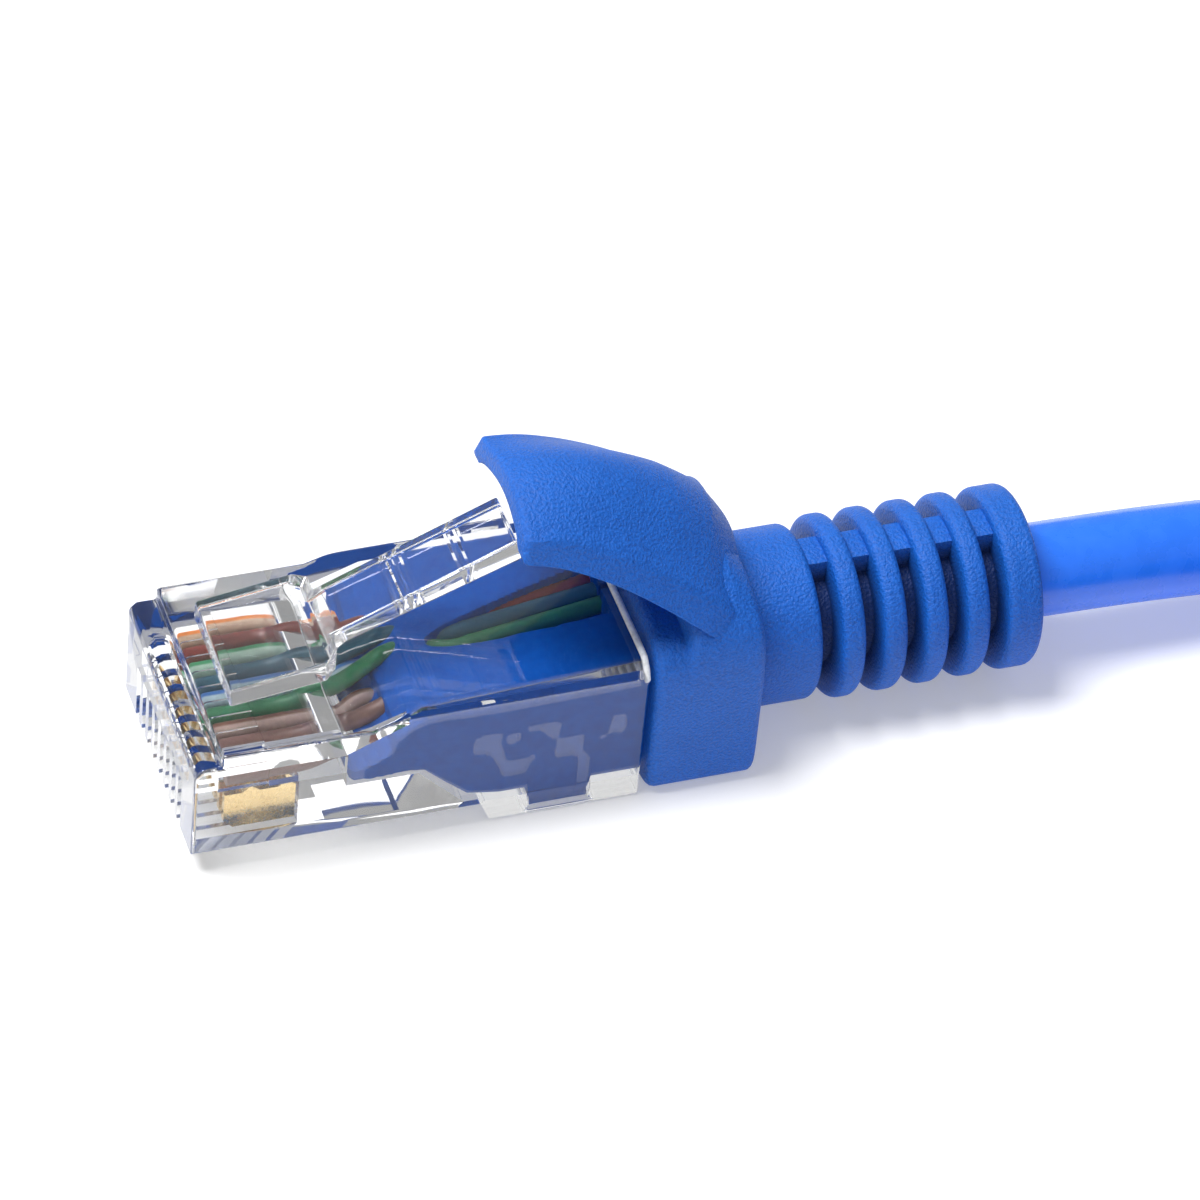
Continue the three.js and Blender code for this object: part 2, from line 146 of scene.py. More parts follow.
# Fine moulded grain: noise at two sizes gives a height, a mask and a slow mottling.
def makeGrainGroup(v):
    group, given, out = newGroup(
        "moulded grain",
        [("Grain Size", "Float", v["grainSize"]), ("Mottle Size", "Float", v["mottleSize"])],
        [("Height", "Float"), ("Mottle", "Float"), ("Speckle", "Float")])
    place = addNode(group, "ShaderNodeTexCoord").outputs["Object"]
    grain = addNode(group, "ShaderNodeTexNoise", {
        "Vector": place, "Scale": given["Grain Size"], "Detail": v["grainDetail"]})
    mottle = addNode(group, "ShaderNodeTexNoise", {
        "Vector": place, "Scale": given["Mottle Size"], "Detail": v["mottleDetail"]})
    speckle = addNode(group, "ShaderNodeMapRange", {
        "Value": grain.outputs[0], "From Min": v["speckleFrom"], "From Max": v["speckleTo"]})
    group.links.new(grain.outputs[0], out.inputs["Height"])
    group.links.new(mottle.outputs[0], out.inputs["Mottle"])
    group.links.new(speckle.outputs[0], out.inputs["Speckle"])
    return group


grainGroup = makeGrainGroup(grainValues)


# A two-colour mix by a factor socket.
def mixColours(tree, factor, first, second):
    node = addNode(tree, "ShaderNodeMix", {0: factor}, data_type="RGBA")
    for socket, value in ((node.inputs[6], first), (node.inputs[7], second)):
        if isinstance(value, bpy.types.NodeSocket):
            tree.links.new(value, socket)
        else:
            socket.default_value = (*value, 1.0)
    return node.outputs[2]


# A value spread between two limits by a 0 to 1 socket.
def spread(tree, factor, low, high):
    return addNode(tree, "ShaderNodeMapRange", {"Value": factor, "To Min": low, "To Max": high}).outputs[0]


# A plastic or cloth with grain: its colour goes from deep to light by the mean of mottle and speckle,
# its roughness follows the speckle and its bump the height.
def grainedPlastic(name, deep, light, roughness, grainSize, bump,
                   mottleSize=grainValues["mottleSize"], **values):
    material, tree, shader = newMaterial(name, **values)
    grain = addNode(tree, "ShaderNodeGroup", node_tree=grainGroup)
    grain.inputs["Grain Size"].default_value = grainSize
    grain.inputs["Mottle Size"].default_value = mottleSize
    both = addNode(tree, "ShaderNodeMath", {
        0: grain.outputs["Mottle"], 1: grain.outputs["Speckle"]}, operation="ADD")
    half = addNode(tree, "ShaderNodeMath", {0: both.outputs[0], 1: 0.5}, operation="MULTIPLY")
    tree.links.new(mixColours(tree, half.outputs[0], deep, light), shader.inputs["Base Color"])
    swing = grainValues["roughSpread"]
    rough = spread(tree, grain.outputs["Speckle"], roughness - swing, roughness + swing)
    tree.links.new(rough, shader.inputs["Roughness"])
    dent = addNode(tree, "ShaderNodeBump", {
        "Height": grain.outputs["Height"], "Strength": bump, "Distance": grainValues["depth"]})
    tree.links.new(dent.outputs[0], shader.inputs["Normal"])
    return material


# The clear plastic's index, noise sizes and roughness; marks are in millimetres, depths in metres.
clearValues = {
    "tint": (0.98, 0.985, 0.99), "bending": 1.52, "flowScale": (120.0, 700.0, 700.0), "flowStrength": 0.08,
    "flowDepth": 0.00005, "hazeSize": 1500.0, "smoothest": 0.01, "roughest": 0.055,
    "markHalf": 0.14, "markCrest": 0.02, "markDepth": 0.00006, "latchMarks": (10.9, 11.5, 14.0),
}


# Clear polycarbonate: almost smooth, with faint flow lines from stretched noise. Where marks are given,
# the point attribute along (millimetres from the nose) puts a fine raised line at each.
def makeClearPlastic(name, v, marks=()):
    material, tree, shader = newMaterial(name, **{
        "Base Color": v["tint"], "Transmission Weight": 1.0, "IOR": v["bending"]})
    place = addNode(tree, "ShaderNodeTexCoord").outputs["Object"]
    stretched = addNode(tree, "ShaderNodeMapping", {"Vector": place, "Scale": v["flowScale"]})
    flow = addNode(tree, "ShaderNodeTexNoise", {"Vector": stretched.outputs[0], "Scale": 1.0, "Detail": 3.0})
    haze = addNode(tree, "ShaderNodeTexNoise", {"Vector": place, "Scale": v["hazeSize"], "Detail": 2.0})
    tree.links.new(spread(tree, haze.outputs[0], v["smoothest"], v["roughest"]), shader.inputs["Roughness"])
    dent = addNode(tree, "ShaderNodeBump", {
        "Height": flow.outputs[0], "Strength": v["flowStrength"], "Distance": v["flowDepth"]})
    for mark in marks:
        along = addNode(tree, "ShaderNodeAttribute", attribute_name="along").outputs["Fac"]
        away = addNode(tree, "ShaderNodeMath", {0: along, 1: mark}, operation="SUBTRACT")
        size = addNode(tree, "ShaderNodeMath", {0: away.outputs[0]}, operation="ABSOLUTE")
        line = addNode(tree, "ShaderNodeMapRange", {
            "Value": size.outputs[0], "From Min": v["markHalf"], "From Max": v["markCrest"]})
        dent = addNode(tree, "ShaderNodeBump", {
            "Height": line.outputs[0], "Normal": dent.outputs[0], "Strength": 1.0,
            "Distance": v["markDepth"]})
    tree.links.new(dent.outputs[0], shader.inputs["Normal"])
    return material


goldValues = {"deep": (0.72, 0.45, 0.14), "light": (0.98, 0.78, 0.42), "grainSize": 6000.0,
              "smoothest": 0.16, "roughest": 0.34}


# Gold plating: the colour drifts between two golds by the mottle, with small dull spots by the speckle.
def makeGold(v):
    material, tree, shader = newMaterial("gold plate", Metallic=1.0)
    grain = addNode(tree, "ShaderNodeGroup", node_tree=grainGroup)
    grain.inputs["Grain Size"].default_value = v["grainSize"]
    gold = mixColours(tree, grain.outputs["Mottle"], v["deep"], v["light"])
    rough = spread(tree, grain.outputs["Speckle"], v["smoothest"], v["roughest"])
    tree.links.new(gold, shader.inputs["Base Color"])
    tree.links.new(rough, shader.inputs["Roughness"])
    return material


clearPlastic = makeClearPlastic("clear polycarbonate", clearValues)
clearLatch = makeClearPlastic("clear latch", clearValues, clearValues["latchMarks"])
goldPlate = makeGold(goldValues)
bootPvc = grainedPlastic("blue boot pvc", (0.003, 0.072, 0.36), (0.009, 0.14, 0.62), 0.5, 7200.0, 0.8,
                         **{"Specular IOR Level": 0.35})
cablePvc = grainedPlastic("blue cable pvc", (0.014, 0.15, 0.74), (0.022, 0.18, 0.86), 0.28, 900.0, 0.03,
                          **{"Coat Weight": 0.25, "Coat Roughness": 0.2})


# Deep in the sleeve's windows shade is painted into the boot's colour: it falls towards a dark blue with the
# point attribute inside.
def paintShadeInWindows(material, deep):
    tree = material.node_tree
    shader = tree.nodes["Principled BSDF"]
    ground = shader.inputs["Base Color"].links[0].from_socket
    mask = addNode(tree, "ShaderNodeAttribute", attribute_name="inside").outputs["Fac"]
    tree.links.new(mixColours(tree, mask, ground, deep), shader.inputs["Base Color"])


# The boot's plastic gets painted shade deep in its windows.
paintShadeInWindows(bootPvc, (0.003, 0.028, 0.15))
print("first materials made")


# A mesh from whole arrays of points, quads and cap loops; smooth except over edges sharper than the
# given angle in degrees.
def buildMesh(name, points, quads, caps=(), sharp=40.0):
    mesh = bpy.data.meshes.new(name)
    loops = np.concatenate([quads.ravel(), *[np.asarray(cap) for cap in caps]]).astype(np.int32)
    totals = np.concatenate([np.full(len(quads), 4), [len(cap) for cap in caps]]).astype(np.int32)
    mesh.vertices.add(len(points))
    mesh.vertices.foreach_set("co", np.ascontiguousarray(points, np.float32).ravel())
    mesh.loops.add(len(loops))
    mesh.loops.foreach_set("vertex_index", loops)
    mesh.polygons.add(len(totals))
    mesh.polygons.foreach_set("loop_start", np.concatenate([[0], np.cumsum(totals)[:-1]]).astype(np.int32))
    mesh.polygons.foreach_set("loop_total", totals)
    mesh.update(calc_edges=True)
    mesh.polygons.foreach_set("use_smooth", np.ones(len(totals), bool))
    mesh.set_sharp_from_angle(angle=np.radians(sharp))
    return mesh


# A point attribute with one number per vertex, for a material to read.
def setAttribute(mesh, name, values):
    attribute = mesh.attributes.new(name, "FLOAT", "POINT")
    attribute.data.foreach_set("value", values.ravel().astype(np.float32))


# A piece with its material, at the origin; it rides on a body unless none is given.
def addPiece(name, mesh, material, body="root"):
    piece = bpy.data.objects.new(name, mesh)
    bpy.context.scene.collection.objects.link(piece)
    piece.data.materials.append(material)
    if body:
        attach(piece, body)
    return piece


# Quads between neighbouring closed rings of a (rings, points, 3) array, with a cap at each end.
def loftMesh(name, rings, sharp=40.0):
    count, across = rings.shape[:2]
    i = np.arange(count - 1)[:, None] * across
    j = np.arange(across)[None, :]
    k = (j + 1) % across
    quads = np.stack([i + j, i + k, i + k + across, i + j + across], -1).reshape(-1, 4)
    first = np.arange(across)[::-1]
    last = np.arange(across) + (count - 1) * across
    return buildMesh(name, rings.reshape(-1, 3), quads, (first, last), sharp)


# The cable: diameter and length in metres, the coil in millimetres.
cordValues = {
    "diameter": 0.0046, "length": 0.916, "coilFloor": 0.9, "meanRadius": 26.8, "turnPitch": 4.7,
    "turns": (3, 2), "pointsPerTurn": 24, "rings": 8, "smoothness": 6,
}
# The stretch from the near boot to the coil, in the near end's millimetres.
runRoute = [
    [42.07, 0, 4.45], [45, 0, 4.4], [48, 0, 4.3], [51, 0, 4.12],
    [54, 0, 3.86], [57, 0, 3.58], [59.6, 0, 3.38], [63, 0, 3.26], [67, 0, 3.2], [72, 0, 3.2],
]
# The stretch from the coil's top turn to the far boot, from the coil's centre.
tailRoute = [
    [-20.6, 20.6, 7.65], [-14.6, 25.2, 8.2], [-7.5, 28.2, 9.5], [-0.5, 29.2, 11.1],
    [6.47, 28.15, 12.42], [10.18, 26.22, 13.07], [13.26, 23.39, 13.64], [15.5, 19.87, 14.05],
    [16.76, 15.89, 14.3], [17, 13.11, 14.35], [17, 10.6, 14.35], [17, 8.0, 14.35],
]


# The coil winds inwards on its lower layer and outwards on the upper one: the angle falls evenly,
# the radius follows the turn count, and over the last half turn of the lower layer the cable climbs
# to the upper one, half a pitch further out, where it lies in the hollows between the lower turns.
def coilRoute(values):
    low, high = values["turns"]
    pitch = values["turnPitch"]
    steps = values["pointsPerTurn"]
    lowHeight = values["coilFloor"] + values["diameter"] / mm / 2
    rise = pitch * np.sin(np.pi / 3)
    outer = values["meanRadius"] + pitch * (low - 1) / 2
    turn = np.arange(steps * (low + high) - steps // 8) / steps
    inward = outer - pitch * np.minimum(turn, low - 1)
    outward = pitch * np.clip(turn - low, 0, high - 1)
    climb = np.clip((turn - (low - 0.5)) * 2, 0, 1)
    radius = inward + outward + pitch / 2 * climb
    height = lowHeight + rise * climb
    angle = np.pi / 2 - 2 * np.pi * turn
    return np.stack([radius * np.cos(angle), radius * np.sin(angle), height], -1)


# One NURBS curve runs through the three stretches, with a round bevel of the cable's radius.
def makeCord(values):
    low, high = np.array(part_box("cord_coil"))
    centre = (low + high) / 2 * np.array([1, 1, 0])
    run = toFrame(runRoute, "a")
    wound = coilRoute(values) * mm + centre
    tail = np.array(tailRoute) * mm + centre
    points = np.concatenate([run, wound, tail])
    curve = bpy.data.curves.new("network_cable", "CURVE")
    curve.dimensions = "3D"
    curve.bevel_depth = values["diameter"] / 2
    curve.bevel_resolution = values["rings"]
    curve.resolution_u = values["smoothness"]
    curve.use_fill_caps = True
    spline = curve.splines.new("NURBS")
    spline.points.add(len(points) - 1)
    spline.points.foreach_set("co", np.c_[points, np.ones(len(points))].ravel())
    spline.use_endpoint_u = True
    spline.order_u = 4
    cable = addPiece("network_cable", curve, cablePvc)
    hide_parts("cord_run", "cord_coil", "cord_tail")
    return cable, run[0]


cable, cableExit = makeCord(cordValues)
print("cable laid")


# Clear mouldings: a merged copy of the CAD solid with rounded edges, in millimetres and degrees.
shellValues = {"outerRound": 0.2, "latchRound": 0.14, "wideSide": 5.0, "segments": 3,
               "flatWithin": 1, "cornerOver": 20, "sharpOver": 30, "mergeWithin": 0.001}


# Doubles are merged and flat faces joined, then a Bevel rounds the sharp edges that the rule picks.
# The point attribute along is each point's distance from the nose plane in millimetres.
def shellFromCad(name, node, material, width, picks, end):
    v = shellValues
    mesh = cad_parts[node].data.copy()
    mesh.name = name
    form = bmesh.new()
    form.from_mesh(mesh)
    bmesh.ops.remove_doubles(form, verts=form.verts, dist=v["mergeWithin"] * mm)
    bmesh.ops.dissolve_limit(
        form, angle_limit=np.radians(v["flatWithin"]), verts=form.verts, edges=form.edges)
    weight = form.edges.layers.float.new("bevel_weight_edge")
    for edge in form.edges:
        sharp = len(edge.link_faces) == 2 and edge.calc_face_angle(0) > np.radians(v["cornerOver"])
        edge[weight] = 1.0 if sharp and picks(edge) else 0.0
    form.to_mesh(mesh)
    form.free()
    mesh.materials.clear()
    points = np.empty(len(mesh.vertices) * 3, np.float32)
    mesh.vertices.foreach_get("co", points)
    axis = 0 if end == "a" else 1
    along = (points.reshape(-1, 3)[:, axis] - noseOf(end)[axis]) / mm
    setAttribute(mesh, "along", along)
    piece = addPiece(name, mesh, material, None)
    bevel = piece.modifiers.new("rounded edges", "BEVEL")
    bevel.limit_method = "WEIGHT"
    bevel.width = width * mm
    bevel.segments = v["segments"]
    bevel.use_clamp_overlap = False
    bevel.harden_normals = True
    mesh.polygons.foreach_set("use_smooth", np.ones(len(mesh.polygons), bool))
    mesh.set_sharp_from_angle(angle=np.radians(v["sharpOver"]))
    return piece


# The inverse of toFrame for one point: back to an end's own millimetres.
def toEnd(point, end):
    x, y, z = (np.array(point) - noseOf(end)) / mm
    return (x, y, z) if end == "a" else (y, -x, z)


# An edge is an outer one where both its ends lie beyond the pocket's width.
def outerEdge(end):
    wide = shellValues["wideSide"]
    return lambda edge: all(abs(toEnd(v.co, end)[1]) > wide for v in edge.verts)


# The housing stays on the root body and the latch rides on its own.
def makeClearParts(end):
    shell = shellFromCad("clear_housing_" + end, "plug_housing_" + end, clearPlastic,
                         shellValues["outerRound"], outerEdge(end), end)
    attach(shell, "root")
    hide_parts("plug_housing_" + end)
    latch = shellFromCad("clear_latch_" + end, "latch_tab_" + end, clearLatch,
                         shellValues["latchRound"], lambda edge: True, end)
    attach(latch, "latch_" + end)
    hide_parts("latch_tab_" + end)


# A smooth 0 to 1 step from one value to another, in either order: 3 t^2 - 2 t^3.
def smoothStep(value, low, high):
    t = np.clip((value - low) / (high - low), 0, 1)
    return t * t * (3 - 2 * t)


# A quarter circle's fall from a face, for a depth measured in from its edge.
def edgeFall(depth, radius):
    inside = np.clip(radius - depth, 0, radius)
    return radius - np.sqrt(np.maximum(radius ** 2 - inside ** 2, 0))


# A smooth curve through given values: cubic pieces whose slopes are the neighbours' chords.
def smoothCurve(t, given, values):
    values = np.asarray(values, float)
    slope = np.gradient(values, given)
    k = np.clip(np.searchsorted(given, t, side="right") - 1, 0, len(given) - 2)
    h = given[k + 1] - given[k]
    s = (t - given[k]) / h
    return ((2 * s ** 3 - 3 * s ** 2 + 1) * values[k] + (s ** 3 - 2 * s ** 2 + s) * h * slope[k]
            + (3 * s ** 2 - 2 * s ** 3) * values[k + 1] + (s ** 3 - s ** 2) * h * slope[k + 1])


# Every rounded outline is a convex polygon with rounded corners. The radius at an angle is a power
# mean of the edges' reach: (sum of (cos(angle - facing) / reach)^power)^(-1/power).
def roundedReach(angles, facings, reaches, power):
    facing = np.radians(np.asarray(facings, float))
    turn = np.cos(angles[..., None] - facing)
    parts = np.maximum(turn, 0) / np.asarray(reaches)
    return (parts ** np.asarray(power)[..., None]).sum(-1) ** (-1 / np.asarray(power))


# Conductors: round wires in their tunnels, then gathered into the jacket; pin 1 is on the +Y side.
wireValues = {
    "pins": 8, "pitch": 1.02, "diameter": 0.86, "sides": 20, "steps": 120,
    "front": 1.85, "straightEnd": 5.0, "gather": 7.5, "back": 21.3, "height": 4.5,
    "noseHalf": 3.6, "bundleHalf": 2.3, "bundleHeight": 4.3, "stagger": 0.5, "staggerTurn": 2.4,
    "lift": 0.5, "liftRise": (7.2, 9.0), "liftFall": (11.5, 9.8),
    "weave": 0.2, "weaveTurn": 1.15, "weaveRise": (5.2, 8.0), "weaveFall": (14.5, 11.5),
    "weaveUp": (6.8, 8.2),
    "driftFrom": 12, "driftOver": 2, "driftSlope": 0.16, "driftMiddle": 17,
    "stripeSide": 70, "stripeFrom": 0.9, "stripeFull": 0.96, "shade": 0.75,
}
pins = range(1, wireValues["pins"] + 1)
# Base colours by pin: pale ones carry a stripe of their partner's colour.
wireColours = {
    1: ((0.80, 0.55, 0.38), (0.85, 0.25, 0.04)), 2: ((0.28, 0.045, 0.03), None),
    3: ((0.50, 0.72, 0.58), (0.04, 0.30, 0.12)), 4: ((0.03, 0.13, 0.20), None),
    5: ((0.48, 0.64, 0.72), (0.04, 0.16, 0.45)), 6: ((0.04, 0.25, 0.11), None),
    7: ((0.60, 0.42, 0.36), (0.20, 0.08, 0.05)), 8: ((0.24, 0.12, 0.10), None),
}
# Where the wires seen through the jacket's slit lie at the slit: pin, offset across, height.
slitWires = {2: (1.2, 6.3), 4: (0.38, 6.42), 6: (-0.45, 6.3)}


# The stripe is where the wire's around value passes a threshold; the rest is the pale base.
def makeWireMaterial(pin):
    base, stripe = wireColours[pin]
    deep = tuple(wireValues["shade"] * value for value in base)
    material = grainedPlastic("wire insulation " + str(pin), deep, base, 0.38, 5000.0, 0.05)
    if stripe:
        tree = material.node_tree
        shader = tree.nodes["Principled BSDF"]
        ground = shader.inputs["Base Color"].links[0].from_socket
        around = addNode(tree, "ShaderNodeAttribute", attribute_name="around").outputs["Fac"]
        mask = addNode(tree, "ShaderNodeMapRange", {
            "Value": around, "From Min": wireValues["stripeFrom"], "From Max": wireValues["stripeFull"]})
        tree.links.new(mixColours(tree, mask.outputs[0], ground, stripe), shader.inputs["Base Color"])
    return material


# A wire runs straight behind the nose, then eases to its place in the bundle: x is even, y and z
# follow smooth steps, and a slow sine and cosine let neighbours wind round each other as twisted
# pairs do. The wires in the slit also drift across it with a steady slope.
def wirePath(pin):
    v = wireValues
    lane = (v["pins"] - pin) - (v["pins"] - 1) / 2
    y0 = lane * v["pitch"]
    x = np.linspace(v["front"], v["back"], v["steps"])
    ease = smoothStep(x, v["straightEnd"], v["straightEnd"] + v["gather"])
    raised = smoothStep(x, *v["liftRise"]) * smoothStep(x, *v["liftFall"])
    bundleY = y0 * v["bundleHalf"] / v["noseHalf"]
    bundleZ = v["bundleHeight"] + v["stagger"] * np.cos(pin * v["staggerTurn"])
    y1, z1 = slitWires.get(pin, (bundleY, bundleZ))
    slope = v["driftSlope"] * (x - v["driftMiddle"]) * np.clip((x - v["driftFrom"]) / v["driftOver"], 0, 1)
    drift = slope if pin in slitWires else 0
    twist = smoothStep(x, *v["weaveRise"]) * smoothStep(x, *v["weaveFall"])
    phase = x * v["weaveTurn"] + pin * np.pi
    wander = v["weave"] * np.sin(phase) * twist
    weave = v["weave"] * np.cos(phase) * twist * smoothStep(x, *v["weaveUp"])
    z = v["height"] + (z1 - v["height"]) * ease + v["lift"] * raised + weave
    return np.stack([x, y0 + (y1 - y0) * ease + wander + drift, z], -1)


# A ring of points in the Y and Z plane is carried along the path.
def tubeRings(path, radius, sides):
    angle = np.linspace(0, 2 * np.pi, sides, endpoint=False)
    ring = np.stack([np.zeros(sides), np.cos(angle), np.sin(angle)], -1)
    return path[:, None, :] + ring * radius, angle


# Eight wires, with the point attribute around as the cosine from the stripe's side, 0 to 1.
# The CAD contacts only change their material.
def makeWires(end, materials):
    for pin in pins:
        rings, angle = tubeRings(wirePath(pin), wireValues["diameter"] / 2, wireValues["sides"])
        mesh = loftMesh("wire_" + end + str(pin), toFrame(rings, end))
        fromStripe = np.cos(angle - np.radians(wireValues["stripeSide"]))
        setAttribute(mesh, "around", np.tile(0.5 + 0.5 * fromStripe, len(rings)))
        wire = addPiece("wire_" + end + "_" + str(pin), mesh, materials[pin])
        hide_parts("conductor_" + end + "_" + str(pin))
        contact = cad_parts["contact_" + end + "_" + str(pin)]
        contact.data.materials.clear()
        contact.data.materials.append(goldPlate)


# Boot filling: the pvc that is moulded into the plug round the jacket.
fillValues = {
    "stations": [7.6, 7.62, 7.8, 8.6, 9.6, 9.75, 10.4, 11.2, 12.2, 13.4, 15.0, 18.0, 21.6, 22.3],
    "halfWidth": [2.0, 4.7, 4.9, 4.97, 4.97, 4.97, 4.97, 4.97, 4.97, 4.97, 4.97, 4.97, 4.97, 4.97],
    "liftDepth": 0.12, "liftFrom": 13.2, "liftTo": 21.0, "liftLow": 2.2, "liftHigh": 5.4,
    "liftStart": 0.6, "liftEdge": 0.4, "liftOver": (0.35, 0.5),
    "firstWave": (1.9, 1.3), "secondWave": (0.9, -2.7, 1.0), "thirdWave": (3.7, 0.4, 3.1),
    "floor": [3.9, 3.66, 3.62, 3.58, 3.58, 3.58, 3.56, 3.4, 2.4, 1.3, 1.0, 1.0, 1.0, 1.0],
    "top": [4.1, 4.25, 4.35, 4.6, 5.2, 5.85, 6.5, 6.9, 7.0, 7.0, 7.02, 7.1, 7.2, 7.2],
    "windowFrom": 16.32, "windowTo": 19.38, "windowHalf": 5.15, "windowFloor": 0.06,
    "slitFrom": 12.4, "slitTo": 21.15, "slitDepth": 2.1, "slitStart": -0.95, "slitAcross": 1.4,
    "slitWidth": 1.62, "slitEdge": 0.1, "slitClose": 0.12, "slitFacing": (0.3, 0.6),
    "windowEdge": 0.08, "windowSide": 0.1, "windowFacing": -0.3, "wallFrom": 4, "capStep": 0.02,
    "along": 260, "around": 220, "power": 14, "sharpOver": 50,
}


# Patches where the filling lifts off the clear wall: a sum of slow waves above a threshold, kept
# inside a band.
def liftMask(x, z, v):
    first, second, third = v["firstWave"], v["secondWave"], v["thirdWave"]
    waves = np.sin(first[0] * x + first[1] * z) + np.sin(second[0] * x + second[1] * z + second[2])
    waves = waves + np.sin(third[0] * x + third[1]) * np.sin(third[2] * z)
    edge = v["liftEdge"]
    inside = smoothStep(x, v["liftFrom"], v["liftFrom"] + v["liftStart"])
    inside = inside * smoothStep(x, v["liftTo"], v["liftTo"] - edge)
    inside = inside * smoothStep(z, v["liftLow"], v["liftLow"] + edge)
    inside = inside * smoothStep(z, v["liftHigh"], v["liftHigh"] - edge)
    return smoothStep(waves * inside, *v["liftOver"])


# Each section is a rounded box between the floor and the top. A slit is pressed into the top: its
# middle is a slanted line and its width grows as the square root of the distance from its tip. The
# floor drops into the strain relief window.
def makeFilling(end, material):
    v = fillValues
    first, last = v["stations"][0], v["stations"][-1]
    x = np.concatenate([[first], np.linspace(first + v["capStep"], last, v["along"])])
    angle = np.linspace(0, 2 * np.pi, v["around"], endpoint=False)
    half = np.interp(x, v["stations"], v["halfWidth"])
    floor = np.interp(x, v["stations"], v["floor"])
    top = np.interp(x, v["stations"], v["top"])
    middle = (floor + top) / 2
    reach = np.stack([half, (top - floor) / 2, half, (top - floor) / 2], -1)[:, None, :]
    radius = roundedReach(angle[None, :], [0, 90, 180, 270], reach, np.full((len(x), 1), v["power"]))
    y = radius * np.cos(angle)
    z = middle[:, None] + radius * np.sin(angle)
    along = (x[:, None] - v["slitFrom"]) / (v["slitTo"] - v["slitFrom"])
    centre = v["slitStart"] + v["slitAcross"] * along
    width = v["slitWidth"] * np.sqrt(np.clip(along, 0, 1))
    width = width * smoothStep(x[:, None], v["slitTo"] + v["slitClose"], v["slitTo"])
    edge = v["slitEdge"]
    inSlit = smoothStep(np.abs(y - centre), width + edge, np.maximum(width - edge, 0)) * (along > 0)
    facesUp = smoothStep(np.sin(angle)[None, :], *v["slitFacing"])
    z = z - v["slitDepth"] * inSlit * facesUp
    inWindow = smoothStep(x[:, None], v["windowFrom"], v["windowFrom"] + v["windowEdge"])
    inWindow = inWindow * smoothStep(x[:, None], v["windowTo"], v["windowTo"] - v["windowEdge"])
    inWindow = inWindow * smoothStep(np.abs(y), v["windowHalf"], v["windowHalf"] - v["windowSide"])
    facesDown = (np.sin(angle) < v["windowFacing"])[None, :]
    z = np.where(facesDown, z + (v["windowFloor"] - z) * inWindow, z)
    onWall = np.abs(y) > v["wallFrom"]
    y = y - np.sign(y) * v["liftDepth"] * liftMask(x[:, None] + 0 * y, z, v) * onWall
    rings = np.stack([np.broadcast_to(x[:, None], y.shape), y, z], -1)
    mesh = loftMesh("moulded_core_" + end, toFrame(rings, end), v["sharpOver"])
    filling = addPiece("moulded_core_" + end, mesh, material)
    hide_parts("crimped_jacket_" + end)


# Rear rim: a pale bead along the housing's rear top edge, a painted highlight there.
rimValues = {"route": [(21.6, -5.72, 7.2), (21.6, -5.45, 7.75), (21.6, -5.0, 8.14), (21.6, -4.0, 8.2),
                       (21.6, 4.0, 8.2), (21.6, 5.0, 8.14), (21.6, 5.45, 7.75), (21.6, 5.72, 7.2)],
             "radius": 0.17, "steps": 90, "sides": 12, "tip": 0.002}


# A round bead follows the rim's route; its radius falls to nothing in a quarter circle at both ends.
def makeRim(end, material):
    v = rimValues
    route = np.array(v["route"])
    given = np.concatenate([[0], np.cumsum(np.linalg.norm(np.diff(route, axis=0), axis=1))])
    along = given[-1] * (0.5 - 0.5 * np.cos(np.linspace(0, np.pi, v["steps"])))
    path = np.stack([np.interp(along, given, route[:, k]) for k in range(3)], -1)
    run = np.gradient(path, axis=0)
    run /= np.linalg.norm(run, axis=1, keepdims=True)
    out = np.stack([0 * along, run[:, 2], -run[:, 1]], -1)
    angle = np.linspace(0, 2 * np.pi, v["sides"], endpoint=False)[None, :, None]
    toTip = np.minimum(along, given[-1] - along)
    radius = v["radius"] - edgeFall(toTip + v["tip"], v["radius"])
    ring = np.cos(angle) * np.array([1.0, 0, 0]) + np.sin(angle) * out[:, None, :]
    rings = path[:, None, :] + ring * radius[:, None, None]
    rim = addPiece("rear_rim_" + end, loftMesh("rear_rim_" + end, toFrame(rings, end)), material)


# Boot: collar block, neck and ribbed sleeve as one moulding.
bootValues = {
    "front": 22.02, "collarEnd": 27.4, "halfWidth": 6.1, "axis": 4.45, "collarTop": 9.0,
    "rootFrom": 23.55, "rootLine": [[23.55, 12.75], [24.6, 12.65], [26.1, 11.75], [27.0, 10.6], [27.4, 9.9]],
    "edgeRound": 0.45, "neckRadius": 4.2, "neckEnd": 31.07, "shoulder": 7.0, "shoulderRise": 0.12,
    "ringStart": 32.0, "ringPitch": 2.08, "ringCount": 5, "ringThickness": 1.15, "lastThickness": 1.75,
    "ringRadius": 4.4, "windowRadius": 2.62, "bridgeRadius": 3.85, "bridgeHalf": 14.0, "round": 0.4,
    "end": 42.07, "boreRadius": 2.36, "around": 240, "power": 11.0, "sharpOver": 42,
    "facings": [0, 48, 90, 132, 180, 270], "rootBlend": 0.5, "bridgeEdge": 3, "neckInside": 2,
    "lipDepth": [0.0, 0.02, 0.08, 2.0], "lipFlare": [0.1, 0.03, 0.0, 0.0], "paintedShadeStart": 0.5,
}


# The neck and each ring as rows of start, end and radius.
def ringTable(v):
    starts = v["ringStart"] + np.arange(v["ringCount"]) * v["ringPitch"]
    ends = starts + v["ringThickness"]
    ends[-1] = starts[-1] + v["lastThickness"]
    rings = np.stack([starts, ends, np.full(v["ringCount"], v["ringRadius"])], -1)
    return np.concatenate([[[v["front"] - v["neckInside"], v["neckEnd"], v["neckRadius"]]], rings])


